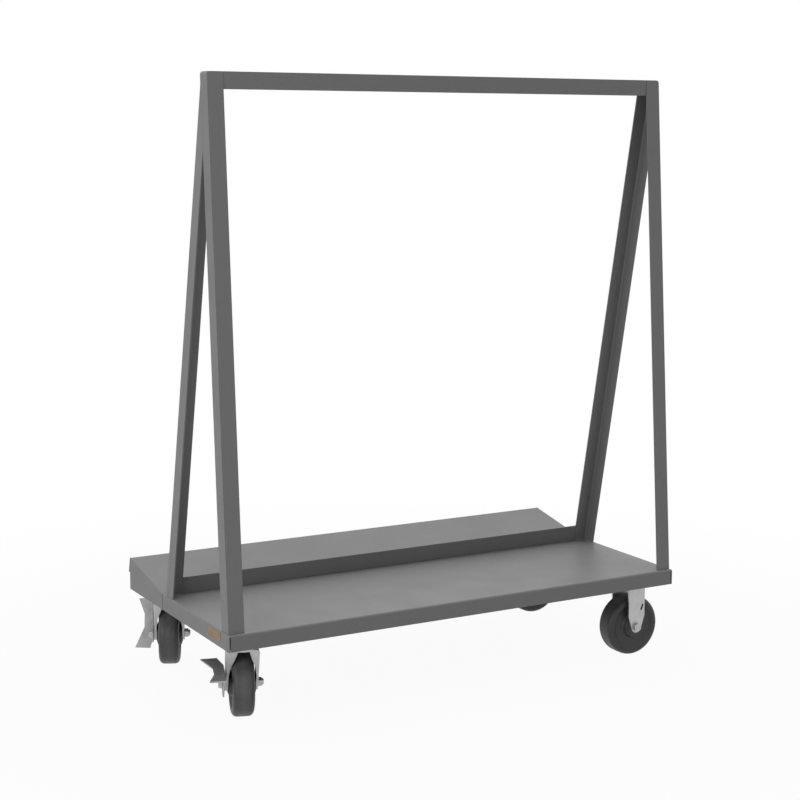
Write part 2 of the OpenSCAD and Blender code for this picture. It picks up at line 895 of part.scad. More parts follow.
module front_left_wheel() {
    at_front_left() translate(axle_at) wheel();
}

module front_left_rollers() {
    at_front_left() translate(axle_at) rollers();
}

module rear_left_top_plate() {
    translate(rear_left) swivel_top_plate();
}

module rear_left_kingpin() {
    translate(rear_left) swivel_kingpin();
}

module rear_left_kingpin_nut() {
    translate(rear_left) swivel_kingpin_nut();
}

module rear_left_fork() {
    at_rear_left() swivel_fork();
}

module rear_left_balls() {
    at_rear_left() swivel_balls();
}

module rear_left_axle_bolt() {
    at_rear_left() translate(axle_at) axle_bolt(brake_washer_out);
}

module rear_left_axle_nut() {
    at_rear_left() translate(axle_at) axle_nut();
}

module rear_left_axle_sleeve() {
    at_rear_left() translate(axle_at) axle_sleeve();
}

module rear_left_hub_washers() {
    at_rear_left() translate(axle_at) hub_washers();
}

module rear_left_brake_cam() {
    at_rear_left() translate(axle_at) brake_cam();
}

module rear_left_brake_washer() {
    at_rear_left() translate(axle_at) brake_washer();
}

module rear_left_brake_lever() {
    at_rear_left() translate(axle_at) brake_lever(rear_left_brake);
}

module rear_left_wheel() {
    at_rear_left() translate(axle_at) wheel();
}

module rear_left_rollers() {
    at_rear_left() translate(axle_at) rollers();
}

// Outline of the rigid fork from the side: parallel legs tapering to round ends at the axle
module rigid_side() {
    axle = [0, axle_z];
    half = rigid_leg_w / 2;
    top = caster_h + over;
    translate(axle) circle(r = rigid_leg_end_r);
    polygon([
        [-half, top],
        [-half, rigid_taper_z],
        tangent_point([-half, rigid_taper_z], axle, rigid_leg_end_r, 1),
        axle,
        tangent_point([half, rigid_taper_z], axle, rigid_leg_end_r, -1),
        [half, rigid_taper_z],
        [half, top]
    ]);
}

// Slanted slot through both legs of the rigid fork
module rigid_slot() {
    straight = slot_len - slot_w;
    translate([-2 * fork_half, -slot_side, axle_z + slot_up]) rotate([slot_tilt, 0, 0]) {
        along_x(4 * fork_half) {
            square([slot_w, straight], center = true);
            for (side = [-1, 1]) {
                translate([0, side * straight / 2]) circle(d = slot_w);
            }
        }
    }
}

// Rigid fork: a bolted plate with one bent strip under it
module rigid_fork() {
    color(zinc) difference() {
        union() {
            rotate([0, 0, -90]) bolted_plate();
            intersection() {
                translate([0, rigid_leg_w, 0]) to_front(2 * rigid_leg_w) fork_strip(rigid_strip_top);
                translate([-2 * fork_half, 0, 0]) along_x(4 * fork_half) rigid_side();
            }
        }
        rigid_slot();
        translate(rigid_axle_at) rotate([0, 90, 0]) cylinder(r = axle_hole_r, h = 4 * fork_half, center = true);
    }
}

module front_right_fork() {
    rigid_at(front_right) rigid_fork();
}

module front_right_axle_bolt() {
    rigid_at(front_right) translate(rigid_axle_at) axle_bolt(fork_half);
}

module front_right_axle_nut() {
    rigid_at(front_right) translate(rigid_axle_at) axle_nut();
}

module front_right_axle_sleeve() {
    rigid_at(front_right) translate(rigid_axle_at) axle_sleeve();
}

module front_right_hub_washers() {
    rigid_at(front_right) translate(rigid_axle_at) hub_washers();
}

module front_right_wheel() {
    rigid_at(front_right) translate(rigid_axle_at) wheel();
}

module front_right_rollers() {
    rigid_at(front_right) translate(rigid_axle_at) rollers();
}

module rear_right_fork() {
    rigid_at(rear_right) rigid_fork();
}

module rear_right_axle_bolt() {
    rigid_at(rear_right) translate(rigid_axle_at) axle_bolt(fork_half);
}

module rear_right_axle_nut() {
    rigid_at(rear_right) translate(rigid_axle_at) axle_nut();
}

module rear_right_axle_sleeve() {
    rigid_at(rear_right) translate(rigid_axle_at) axle_sleeve();
}

module rear_right_hub_washers() {
    rigid_at(rear_right) translate(rigid_axle_at) hub_washers();
}

module rear_right_wheel() {
    rigid_at(rear_right) translate(rigid_axle_at) wheel();
}

module rear_right_rollers() {
    rigid_at(rear_right) translate(rigid_axle_at) rollers();
}

front_deck();
rear_ledge();
rear_bar();
left_caster_channel();
right_caster_channel();
deck_stiffener();
front_leg_left();
front_leg_right();
rear_leg_left();
rear_leg_right();
top_rail();
stop_plate();
name_plate();
caster_bolts();
caster_washers();
caster_nuts();
front_left_top_plate();
front_left_kingpin();
front_left_kingpin_nut();
front_left_fork();
front_left_balls();
front_left_axle_bolt();
front_left_axle_nut();
front_left_axle_sleeve();
front_left_hub_washers();
front_left_brake_cam();
front_left_brake_washer();
front_left_brake_lever();
front_left_wheel();
front_left_rollers();
rear_left_top_plate();
rear_left_kingpin();
rear_left_kingpin_nut();
rear_left_fork();
rear_left_balls();
rear_left_axle_bolt();
rear_left_axle_nut();
rear_left_axle_sleeve();
rear_left_hub_washers();
rear_left_brake_cam();
rear_left_brake_washer();
rear_left_brake_lever();
rear_left_wheel();
rear_left_rollers();
front_right_fork();
front_right_axle_bolt();
front_right_axle_nut();
front_right_axle_sleeve();
front_right_hub_washers();
front_right_wheel();
front_right_rollers();
rear_right_fork();
rear_right_axle_bolt();
rear_right_axle_nut();
rear_right_axle_sleeve();
rear_right_hub_washers();
rear_right_wheel();
rear_right_rollers();
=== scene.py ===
"""Finish of a drywall cart: painted steelwork, plated casters, moulded wheels and a studio stage.

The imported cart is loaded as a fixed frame. Every size below is in metres, and every piece is
made in the cart's own frame: origin on the floor under the platform, +X to the rigid casters,
+Y to the sloping ledge, +Z up.
"""
import json
import math

import bmesh
import bpy
from bpy.props import FloatProperty, FloatVectorProperty, PointerProperty
from mathutils import Matrix, Vector

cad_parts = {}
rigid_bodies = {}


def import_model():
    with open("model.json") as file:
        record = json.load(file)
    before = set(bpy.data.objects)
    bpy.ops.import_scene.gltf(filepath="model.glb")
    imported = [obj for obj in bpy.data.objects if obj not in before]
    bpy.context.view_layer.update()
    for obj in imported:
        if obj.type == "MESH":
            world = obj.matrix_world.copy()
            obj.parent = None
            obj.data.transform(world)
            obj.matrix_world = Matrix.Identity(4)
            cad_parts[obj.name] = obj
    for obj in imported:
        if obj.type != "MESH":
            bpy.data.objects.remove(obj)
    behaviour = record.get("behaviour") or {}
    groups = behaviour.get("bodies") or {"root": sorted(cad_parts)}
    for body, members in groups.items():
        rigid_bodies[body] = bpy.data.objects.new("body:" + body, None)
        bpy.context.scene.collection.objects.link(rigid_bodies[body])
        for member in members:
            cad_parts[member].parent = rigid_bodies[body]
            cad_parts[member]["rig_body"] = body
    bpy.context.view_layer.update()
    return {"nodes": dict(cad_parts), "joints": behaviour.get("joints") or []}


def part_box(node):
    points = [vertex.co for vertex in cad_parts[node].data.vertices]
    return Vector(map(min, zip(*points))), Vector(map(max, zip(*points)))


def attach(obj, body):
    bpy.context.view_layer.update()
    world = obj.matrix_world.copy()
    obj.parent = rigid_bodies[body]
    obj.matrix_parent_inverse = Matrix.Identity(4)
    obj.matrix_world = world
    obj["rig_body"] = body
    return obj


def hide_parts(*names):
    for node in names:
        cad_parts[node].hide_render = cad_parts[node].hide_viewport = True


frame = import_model()

bl_info = {
    "name": "Drywall Cart Finish",
    "version": (1, 0, 0),
    "blender": (4, 5, 0),
    "location": "View3D > Sidebar > Cart",
    "description": "Dresses the frame of a drywall cart with its finish, and sets its stage",
    "category": "Object",
}

UP = Vector((0, 0, 1))

# Nodes of the frame
PAINTED_NODES = (
    "front_deck", "rear_ledge", "rear_bar", "left_caster_channel", "right_caster_channel",
    "deck_stiffener", "front_leg_left", "front_leg_right", "rear_leg_left", "rear_leg_right",
    "top_rail", "stop_plate",
)
SWIVELS = ("front_left", "rear_left")
RIGIDS = ("front_right", "rear_right")
CASTERS = SWIVELS + RIGIDS

# Corners closer than this are one, and faces closer to level than this are one
MERGE_DISTANCE = 1e-5
FLAT_ANGLE = math.radians(0.4)

# Edges that are rounded off, and edges that are shaded as a crease
SHARP_ANGLE = math.radians(32)
EDGE_SEGMENTS = 2
CREASE_ANGLE = math.radians(50)


class CartFinish(bpy.types.PropertyGroup):
    """Colours of the cart's finishes."""

    paint: FloatVectorProperty(
        name="Paint", description="Colour of the powder coat",
        subtype="COLOR", size=3, default=(0.190, 0.190, 0.190), min=0, max=1)
    zinc: FloatVectorProperty(
        name="Zinc", description="Colour of the zinc plate on the forks and top plates",
        subtype="COLOR", size=3, default=(0.47, 0.47, 0.47), min=0, max=1)
    lever: FloatVectorProperty(
        name="Levers", description="Colour of the duller plate on the brake levers",
        subtype="COLOR", size=3, default=(0.38, 0.38, 0.38), min=0, max=1)
    hardware: FloatVectorProperty(
        name="Hardware", description="Colour of the bolts, nuts, washers and bearings",
        subtype="COLOR", size=3, default=(0.44, 0.445, 0.45), min=0, max=1)
    wheel: FloatVectorProperty(
        name="Wheel", description="Colour of the moulded wheels",
        subtype="COLOR", size=3, default=(0.056, 0.056, 0.056), min=0, max=1)
    plate: FloatVectorProperty(
        name="Name plate", description="Colour of the bare name plate",
        subtype="COLOR", size=3, default=(0.275, 0.172, 0.082), min=0, max=1)


class CartShape(bpy.types.PropertyGroup):
    """Sizes of the pieces that are modelled on the frame."""

    steel_edge: FloatProperty(
        name="Steel edge", description="Rounding of the painted steel's edges",
        subtype="DISTANCE", unit="LENGTH", default=0.0007, min=0.0001, max=0.0013)
    caster_edge: FloatProperty(
        name="Caster edge", description="Rounding of the plated pressings' edges",
        subtype="DISTANCE", unit="LENGTH", default=0.0005, min=0.0001, max=0.0013)
    shoulder: FloatProperty(
        name="Shoulder", description="Radius of the wheels' tread shoulders",
        subtype="DISTANCE", unit="LENGTH", default=0.013, min=0.003, max=0.015)
    parting_line: FloatProperty(
        name="Parting line", description="Height of the moulding line round the tread's middle",
        subtype="DISTANCE", unit="LENGTH", default=0.00025, min=0, max=0.001)
    bead: FloatProperty(
        name="Weld bead", description="Radius of the weld beads",
        subtype="DISTANCE", unit="LENGTH", default=0.0026, min=0.001, max=0.005)
    bead_pitch: FloatProperty(
        name="Weld pitch", description="Distance from ripple to ripple along a weld bead",
        subtype="DISTANCE", unit="LENGTH", default=0.0028, min=0.001, max=0.006)
    stitch: FloatProperty(
        name="Weld stitch", description="Length of each weld along the stop plate and channels",
        subtype="DISTANCE", unit="LENGTH", default=0.038, min=0.01, max=0.1)
    plate_corner: FloatProperty(
        name="Name plate corner", description="Radius of the name plate's corners",
        subtype="DISTANCE", unit="LENGTH", default=0.0022, min=0.0005, max=0.006)
    plate_rim: FloatProperty(
        name="Name plate rim", description="Width of the name plate's raised rim",
        subtype="DISTANCE", unit="LENGTH", default=0.0011, min=0.0004, max=0.004)


class CartStage(bpy.types.PropertyGroup):
    """Camera, floor and lights."""

    camera_at: FloatVectorProperty(
        name="Camera", description="Place of the camera",
        subtype="XYZ", unit="LENGTH", size=3, default=(-2.07394, -3.61579, 1.32058))
    heading: FloatProperty(
        name="Heading", description="Turn of the camera from looking along +Y",
        subtype="ANGLE", default=math.radians(-28.854))
    dip: FloatProperty(
        name="Dip", description="Tilt of the camera below level",
        subtype="ANGLE", default=math.radians(7.569))
    roll: FloatProperty(
        name="Roll", description="Turn of the camera about its line of sight",
        subtype="ANGLE", default=math.radians(0.183))
    lens: FloatProperty(
        name="Lens", description="Focal length on a 36 mm wide picture, in millimetres",
        subtype="DISTANCE_CAMERA", default=76.777, min=10, max=300)
    shift: FloatVectorProperty(
        name="Shift", description="Shift of the picture across and up, in picture widths",
        size=2, default=(0.03196, -0.05236))
    floor_colour: FloatVectorProperty(
        name="Floor", description="Colour of the floor",
        subtype="COLOR", size=3, default=(0.40, 0.40, 0.40), min=0, max=1)
    overhead: FloatProperty(
        name="Overhead", description="Strength of the soft light from above",
        default=2.78, min=0, max=6)
    all_round: FloatProperty(
        name="All round", description="Strength of the soft light at eye level",
        default=0.21, min=0, max=2)
    side_light: FloatProperty(
        name="Side light", description="Power of the broad lamp at the front left",
        unit="POWER", default=33.0, min=0, max=5000)


# Sockets of the Mix node: its share, its two values, and its two colours with their result
MIX_SHARE = 0
MIX_VALUES = (2, 3)
MIX_COLOURS = (6, 7)
MIX_COLOUR_RESULT = 2

# Range of a share, and the narrower one that most of a noise's values lie in
FULL_SPAN = (0.0, 1.0)
NOISE_SPAN = (0.3, 0.7)
NOISE_ROUGHNESS = 0.55
EVEN = (1, 1, 1)


class ShaderNodes:
    """Node tree of a material or a world, cleared and with its output."""

    def __init__(self, owner, output):
        owner.use_nodes = True
        self.tree = owner.node_tree
        self.tree.nodes.clear()
        self.output = self.add(output)

    def fill(self, socket, value):
        """A socket gets a constant, or a link from another node's output."""
        if isinstance(value, bpy.types.NodeSocket):
            self.tree.links.new(value, socket)
        else:
            socket.default_value = value

    def add(self, kind, inputs=None, **settings):
        """New node with its settings and inputs, each input a constant or another's output."""
        made = self.tree.nodes.new(kind)
        for name, value in settings.items():
            setattr(made, name, value)
        for socket, value in (inputs or {}).items():
            self.fill(made.inputs[socket], value)
        return made

    def show(self, shader):
        """The output shows a shader."""
        self.fill(self.output.inputs["Surface"], shader.outputs[0])

    def combine(self, operation, first, second):
        """Two values combined by a Math node."""
        return self.add("ShaderNodeMath", {0: first, 1: second}, operation=operation).outputs[0]

    def spread(self, value, span=FULL_SPAN, to=FULL_SPAN):
        """Value mapped from one range to another and held inside it."""
        return self.add(
            "ShaderNodeMapRange",
            {"Value": value, "From Min": span[0], "From Max": span[1],
             "To Min": to[0], "To Max": to[1]},
            clamp=True,
        ).outputs["Result"]

    def seen_rays(self):
        """One for rays from the camera, in reflections and through glass, zero for the rest."""
        rays = self.add("ShaderNodeLightPath").outputs
        mirror = self.combine("MAXIMUM", rays["Is Camera Ray"], rays["Is Glossy Ray"])
        return self.combine("MAXIMUM", mirror, rays["Is Transmission Ray"])


class FinishNodes(ShaderNodes):
    """Nodes of a finish, whose patterns lie on the object's own coordinates."""

    def __init__(self, name, shift):
        self.material = bpy.data.materials.new(f"{name}_finish")
        super().__init__(self.material, "ShaderNodeOutputMaterial")
        self.shader = self.add("ShaderNodeBsdfPrincipled")
        self.show(self.shader)
        home = self.add("ShaderNodeTexCoord").outputs["Object"]
        self.place = self.add(
            "ShaderNodeMapping", {"Vector": home, "Location": (shift, shift, shift)}).outputs[0]

    def feed(self, socket, value):
        """A socket of the shader gets a constant or another node's output."""
        self.fill(self.shader.inputs[socket], value)

    def attribute(self, name):
        """Share that is stored on the piece's mesh."""
        return self.add("ShaderNodeAttribute", attribute_name=name).outputs["Fac"]

    def mix(self, share, first, second):
        """Colour between two, each a constant or another node's output."""
        inputs = {MIX_SHARE: share, MIX_COLOURS[0]: first, MIX_COLOURS[1]: second}
        return self.add("ShaderNodeMix", inputs, data_type="RGBA").outputs[MIX_COLOUR_RESULT]

    def noise(self, scale, detail, stretch=EVEN):
        """Noise with scale patches to the metre, finer along an axis that is stretched."""
        mapping = self.add("ShaderNodeMapping", {"Vector": self.place, "Scale": stretch})
        return self.add("ShaderNodeTexNoise", {
            "Vector": mapping.outputs[0], "Scale": scale, "Detail": detail,
            "Roughness": NOISE_ROUGHNESS,
        }).outputs[0]

    def patches(self, scale, detail, span=NOISE_SPAN, to=FULL_SPAN):
        """Noise whose values fill a range."""
        return self.spread(self.noise(scale, detail), span, to)

    def relief(self, height, depth, strength):
        """Bump of a given depth on the shader."""
        bump = self.add(
            "ShaderNodeBump", {"Strength": strength, "Distance": depth, "Height": height})
        self.feed("Normal", bump.outputs[0])


def tinted(colour, by):
    """Opaque colour, lightened or darkened by a factor."""
    return (*(min(1.0, channel * by) for channel in colour), 1.0)


def painted_steel(nodes, colour):
    """Grey powder coat: faint orange peel, slow changes of tone, and painted shade along the
    rounded edges.
    """
    slow = nodes.patches(scale=2.2, detail=4)
    speck = nodes.patches(scale=420, detail=2, span=(0.35, 0.65))
    toned = nodes.mix(slow, tinted(colour, by=0.95), tinted(colour, by=1.05))
    grained = nodes.mix(speck, tinted(colour, by=0.93), toned)
    uneven = nodes.patches(scale=60, detail=4, to=(0.5, 1.0))
    # Painted shade on the rounded edges, uneven along them
    edge_shade = nodes.combine("MULTIPLY", nodes.attribute("edge_wear"), uneven)
    nodes.feed("Base Color", nodes.mix(edge_shade, grained, tinted(colour, by=0.6)))
    nodes.feed("Roughness", nodes.patches(scale=9, detail=5, span=(0.3, 0.75), to=(0.40, 0.54)))
    nodes.feed("Specular IOR Level", 0.42)
    nodes.relief(nodes.noise(scale=330, detail=2), depth=0.00012, strength=0.35)


def zinc_plate(nodes, colour):
    """Bright zinc on pressed steel: cloudy plating, fine rolling lines and rubbed edges."""
    cool_tint = (0.95, 0.96, 0.97)
    cool = (*(channel * share for channel, share in zip(colour, cool_tint)), 1.0)
    cloudy = nodes.mix(nodes.patches(scale=55, detail=5), cool, tinted(colour, by=1.1))
    rubbed = nodes.attribute("edge_wear")
    nodes.feed("Base Color", nodes.mix(rubbed, cloudy, tinted(colour, by=1.35)))
    nodes.feed("Metallic", 0.85)
    lines = nodes.noise(scale=260, detail=3, stretch=(1, 1, 9))
    nodes.feed("Roughness", nodes.spread(lines, NOISE_SPAN, to=(0.34, 0.50)))
    nodes.relief(lines, depth=0.00008, strength=0.3)


def dull_plate(nodes, colour):
    """Duller plate on the brake levers, scuffed by boots."""
    patches = nodes.patches(scale=48, detail=5)
    cloudy = nodes.mix(patches, tinted(colour, by=0.86), tinted(colour, by=1.14))
    rubbed = nodes.attribute("edge_wear")
    nodes.feed("Base Color", nodes.mix(rubbed, cloudy, tinted(colour, by=2.0)))
    nodes.feed("Metallic", 0.8)
    scuffs = nodes.noise(scale=160, detail=4, stretch=(1, 1, 4))
    nodes.feed("Roughness", nodes.spread(scuffs, NOISE_SPAN, to=(0.38, 0.56)))
    nodes.relief(scuffs, depth=0.00008, strength=0.3)


def hardware(nodes, colour):
    """Plated bolts, nuts, washers, balls and rollers."""
    patches = nodes.patches(scale=140, detail=4)
    nodes.feed("Base Color", nodes.mix(patches, tinted(colour, by=0.85), tinted(colour, by=1.15)))
    nodes.feed("Metallic", 0.9)
    nodes.feed("Roughness", nodes.spread(patches, to=(0.30, 0.46)))
    nodes.relief(nodes.noise(scale=900, detail=2), depth=0.00005, strength=0.3)


def thrust_washer(nodes, colour):
    """Blackened washers at the hubs, rubbed where they turn."""
    black = tinted(colour, by=0.12)[:3]
    rubbed = nodes.patches(scale=180, detail=4, span=(0.35, 0.7))
    nodes.feed("Base Color", nodes.mix(rubbed, tinted(black, by=0.8), tinted(black, by=1.4)))
    nodes.feed("Metallic", 0.3)
    nodes.feed("Roughness", nodes.spread(rubbed, to=(0.42, 0.58)))
    nodes.relief(nodes.noise(scale=700, detail=2), depth=0.00005, strength=0.3)


def moulded_wheel(nodes, colour):
    """Black moulded wheel: fine flecks in the moulding, a dusty skin, and a painted highlight
    along the middle of the tread.
    """
    fleck = nodes.patches(scale=520, detail=3, span=(0.55, 0.72))
    dust = nodes.patches(scale=38, detail=5, span=(0.35, 0.75))
    dusty = nodes.mix(dust, tinted(colour, by=0.82), tinted(colour, by=1.25))
    flecked = nodes.mix(fleck, dusty, tinted(colour, by=1.7))
    uneven = nodes.spread(dust, to=(0.55, 1.0))
    # Painted highlight along the middle of the tread, uneven with the dust
    tread_lit = nodes.combine("MULTIPLY", nodes.attribute("tread_wear"), uneven)
    nodes.feed("Base Color", nodes.mix(tread_lit, flecked, tinted(colour, by=2.5)))
    nodes.feed("Roughness", nodes.spread(dust, to=(0.40, 0.58)))
    nodes.feed("Specular IOR Level", 0.4)
    nodes.relief(nodes.noise(scale=480, detail=3), depth=0.00015, strength=0.4)


def name_plate(nodes, colour):
    """Tan foil plate, bare, with a soft brushed grain and tarnish."""
    grain = nodes.noise(scale=380, detail=3, stretch=(1, 1, 12))
    tarnish = nodes.patches(scale=70, detail=5, span=(0.35, 0.7))
    brushed = nodes.mix(
        nodes.spread(grain, NOISE_SPAN), tinted(colour, by=0.88), tinted(colour, by=1.12))
    nodes.feed("Base Color", nodes.mix(tarnish, brushed, tinted(colour, by=0.84)))
    nodes.feed("Metallic", 0.25)
    nodes.feed("Roughness", nodes.spread(tarnish, to=(0.36, 0.52)))
    nodes.relief(grain, depth=0.00004, strength=0.3)


# What lays each finish's nodes, the colour it takes, and a shift that keeps its pattern its own
FINISHES = {
    "painted_steel": (painted_steel, "paint", 0.0),
    "zinc_plate": (zinc_plate, "zinc", 3.1),
    "dull_plate": (dull_plate, "lever", 5.3),
    "hardware": (hardware, "hardware", 7.7),
    "thrust_washer": (thrust_washer, "hardware", 8.9),
    "moulded_wheel": (moulded_wheel, "wheel", 11.3),
    "name_plate": (name_plate, "plate", 17.9),
}
made_finishes = {}


def finish_of(name):
    """Material of a finish, made the first time it is asked for."""
    if name not in made_finishes:
        lay_nodes, colour, shift = FINISHES[name]
        nodes = FinishNodes(name, shift)
        lay_nodes(nodes, getattr(bpy.context.scene.cart_finish, colour))
        made_finishes[name] = nodes.material
    return made_finishes[name]


def dress_node(node, finish):
    """A fastener or bearing piece that keeps its own shape takes a finish."""
    piece = frame["nodes"][node]
    piece.data.materials.clear()
    piece.data.materials.append(finish_of(finish))


def finish_piece(name, shape, slot, body, replaced=(), finish=None):
    """A modelled shape becomes a smooth-shaded piece that rides on a body."""
    mesh = bpy.data.meshes.new(name)
    shape.to_mesh(mesh)
    shape.free()
    mesh.shade_smooth()
    mesh.set_sharp_from_angle(angle=CREASE_ANGLE)
    mesh.materials.append(finish_of(finish or slot))
    piece = bpy.data.objects.new(name, mesh)
    bpy.context.scene.collection.objects.link(piece)
    weighted = piece.modifiers.new("even_normals", "WEIGHTED_NORMAL")
    weighted.keep_sharp = True
    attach(piece, body)
    if replaced:
        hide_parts(*replaced)


def stand_in(node, manner, shape, slot, finish=None):
    """A modelled shape stands for a node, and its name says in what manner it was made."""
    body = frame["nodes"][node]["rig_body"]
    finish_piece(f"{node}_{manner}", shape, slot, body, (node,), finish)


def box_corners(node):
    """Lowest and highest corner of a node at rest."""
    return [Vector(corner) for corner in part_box(node)]


def sharp_edges(shape):
    """Edges where two faces meet at more than a slight angle."""
    return [
        edge for edge in shape.edges
        if len(edge.link_faces) == 2 and edge.calc_face_angle() > SHARP_ANGLE
    ]


def rounded(shape, edges, width):
    """Edges rounded off, and the new faces marked: plated finishes show them as rubbed edges,
    paint shows them as painted shade.
    """
    layers = shape.loops.layers.float
    tone_layer = layers.get("edge_wear") or layers.new("edge_wear")
    made = bmesh.ops.bevel(
        shape, geom=edges, offset=width, offset_type="OFFSET", affect="EDGES",
        segments=EDGE_SEGMENTS, profile=0.5, material=-1, clamp_overlap=True)
    for face in made["faces"]:
        for loop in face.loops:
            loop[tone_layer] = 1.0


def merged_copy(node):
    """Copy of a node's shape with its triangles joined."""
    shape = bmesh.new()
    shape.from_mesh(frame["nodes"][node].data)
    bmesh.ops.remove_doubles(shape, verts=shape.verts, dist=MERGE_DISTANCE)
    return shape


def soften(node, width, slot, finish=None):
    """A copy of a node's shape with its edges rounded stands for the node."""
    shape = merged_copy(node)
    bmesh.ops.dissolve_limit(
        shape, angle_limit=FLAT_ANGLE, verts=shape.verts, edges=shape.edges)
    rounded(shape, sharp_edges(shape), width)
    stand_in(node, "formed", shape, slot, finish)


def axle_frame(caster):
    """Frame at the middle of a caster's wheel: X along the axle, Z up."""
    name = f"{caster}_wheel_roll"
    joint = next(joint for joint in frame["joints"] if joint["name"] == name)
    along = Vector(joint["axis"]).normalized()
    turned = Matrix((along, UP.cross(along), UP)).transposed().to_4x4()
    return Matrix.Translation(joint["pos_m"]) @ turned


def extent(node, place):
    """Ends of a node along the X axis of a frame, and its reach from that axis."""
    home = place.inverted()
    points = [home @ vertex.co for vertex in frame["nodes"][node].data.vertices]
    along = [point.x for point in points]
    return min(along), max(along), max(math.hypot(point.y, point.z) for point in points)


def loose_middles(node):
    """Middles of the separate solids of a node."""
    shape = merged_copy(node)
    left = set(shape.verts)
    middles = []
    while left:
        found = [left.pop()]
        for vertex in found:
            near = {edge.other_vert(vertex) for edge in vertex.link_edges} & left
            left -= near
            found.extend(near)
        sides = [[vertex.co[axis] for vertex in found] for axis in range(3)]
        middles.append(Vector([(min(side) + max(side)) / 2 for side in sides]))
    shape.free()
    return sorted(middles, key=tuple)


# Steps round a stack of rings, and the corners of a hexagon
RING_STEPS = 48
SIXTH = math.pi / 3

# Circle that a hexagon's corners are cut back to, as a share of its half width, and the cut
CHAMFER_SHARE = 0.95
CHAMFER_SLOPE = math.tan(math.radians(30))


def hex_reach(turn, flat):
    """Distance from a hexagon's middle to its side in a direction, flat being half its width."""
    return flat / math.cos(turn % SIXTH - SIXTH / 2)


def round_ring(height, radius):
    """Round ring of a stack."""
    return lambda turn: (height, radius)


def hex_ring(height, flat, chamfer=0):
    """Six-sided ring of a stack, its corners cut back below (1) or above (-1) the height."""
    def reach(turn):
        radius = hex_reach(turn, flat)
        return height - chamfer * (radius - CHAMFER_SHARE * flat) * CHAMFER_SLOPE, radius
    return reach


def stacked(rings, looped=False, sides=RING_STEPS):
    """Shape of rings along X, each joined to the next, with ends closed or joined together."""
    shape = bmesh.new()
    bmesh.ops.create_circle(shape, segments=sides, radius=1.0)
    bmesh.ops.rotate(shape, verts=shape.verts, matrix=Matrix.Rotation(math.pi / 2, 3, "Y"))
    row, edges = shape.verts[:], shape.edges[:]
    for step, ring in enumerate(rings):
        if step:
            grown = bmesh.ops.extrude_edge_only(shape, edges=edges)["geom"]
            row = [part for part in grown if isinstance(part, bmesh.types.BMVert)]
            edges = [part for part in grown if isinstance(part, bmesh.types.BMEdge)]
        for vertex in row:
            turn = math.atan2(vertex.co.y, vertex.co.z)
            height, radius = ring(turn)
            vertex.co = (height, radius * math.sin(turn), radius * math.cos(turn))
    if looped:
        bmesh.ops.remove_doubles(shape, verts=shape.verts, dist=MERGE_DISTANCE)
    else:
        bmesh.ops.holes_fill(shape, edges=shape.edges, sides=sides)
    bmesh.ops.recalc_face_normals(shape, faces=shape.faces)
    return shape


def placed(shape, place):
    """Shape moved into a frame."""
    bmesh.ops.transform(shape, matrix=place, verts=shape.verts)
    return shape


def joined(shapes):
    """Several shapes as one."""
    whole = bmesh.new()
    mesh = bpy.data.meshes.new("joined")
    for shape in shapes:
        shape.to_mesh(mesh)
        shape.free()
        whole.from_mesh(mesh)
    bpy.data.meshes.remove(mesh)
    return whole


def repeated(shape, places):
    """Copies of a shape in several frames, as one shape."""
    whole = joined([placed(shape.copy(), place) for place in places])
    shape.free()
    return whole


# Dimple of a bolt's head as a share of its half width, and lip as a share of the shank's radius
DIMPLE_SHARE = 0.42
LIP_SHARE = 0.06

# Rings of the dimple from its middle outwards: depth in lips, and share of its radius
DIMPLE_RINGS = ((2.2, 0.4), (1.6, 0.8))

# Chamfer of a bolt's tip in lips, and rounding of a nut's collar as a share of its height
TIP_LIPS = 2
COLLAR_ROUNDING = 0.3


def bolt_shape(start, seat, tip, head_reach, shank):
    """Hexagon bolt along X from its head to its tip, with a dimpled head and chamfered tip."""
    flat = head_reach * math.cos(SIXTH / 2)
    crown = CHAMFER_SHARE * flat
    dimple = DIMPLE_SHARE * flat
    lip = LIP_SHARE * shank
    cut = TIP_LIPS * lip
    rings = [round_ring(start + depth * lip, share * dimple) for depth, share in DIMPLE_RINGS]
    return stacked(rings + [
        round_ring(start, dimple), round_ring(start, crown), hex_ring(start, flat, -1),
        hex_ring(seat - lip / 2, flat), round_ring(seat - lip / 2, crown),
        round_ring(seat, crown), round_ring(seat, shank),
        round_ring(tip - cut, shank), round_ring(tip, shank - cut),
    ])


def nut_shape(start, face, end, reach, collar, bore):
    """Hexagon nut along X, chamfered at both faces, with a rounded collar from face to end."""
    flat = reach * math.cos(SIXTH / 2)
    crown = CHAMFER_SHARE * flat
    rings = [
        round_ring(start, bore), round_ring(start, crown), hex_ring(start, flat, -1),
        hex_ring(face, flat, 1), round_ring(face, crown),
    ]
    if end > face:
        soft = COLLAR_ROUNDING * (end - face)
        rings += [
            round_ring(face, collar + soft), round_ring(face + soft, collar),
            round_ring(end - soft, collar), round_ring(end, collar - soft),
            round_ring(end, bore + soft), round_ring(end - soft, bore),
        ]
    else:
        rings.append(round_ring(face, bore))
    return stacked(rings + rings[:1], looped=True)


class CART_OT_form_steelwork(bpy.types.Operator):
    """Round the edges of the platform and frame, and paint them"""

    bl_idname = "cart.form_steelwork"
    bl_label = "Form steelwork"

    def execute(self, context):
        for node in PAINTED_NODES:
            soften(node, context.scene.cart_shape.steel_edge, "painted_steel")
        return {"FINISHED"}


# Sides of a weld bead, and its radius at its ends and between ripples as shares of the full one
BEAD_SIDES = 10
BEAD_END = 0.45
BEAD_NECK = 0.8

# Places of a ripple's crest and neck along its pitch, and the fewest ripples of a bead
RIPPLE_CREST = 0.3
RIPPLE_NECK = 0.8
LEAST_RIPPLES = 3

# Wall of the steel angle, and counts of the short welds
ANGLE_WALL = 0.0032
PLATE_STITCHES = 7
CHANNEL_STITCHES = 4


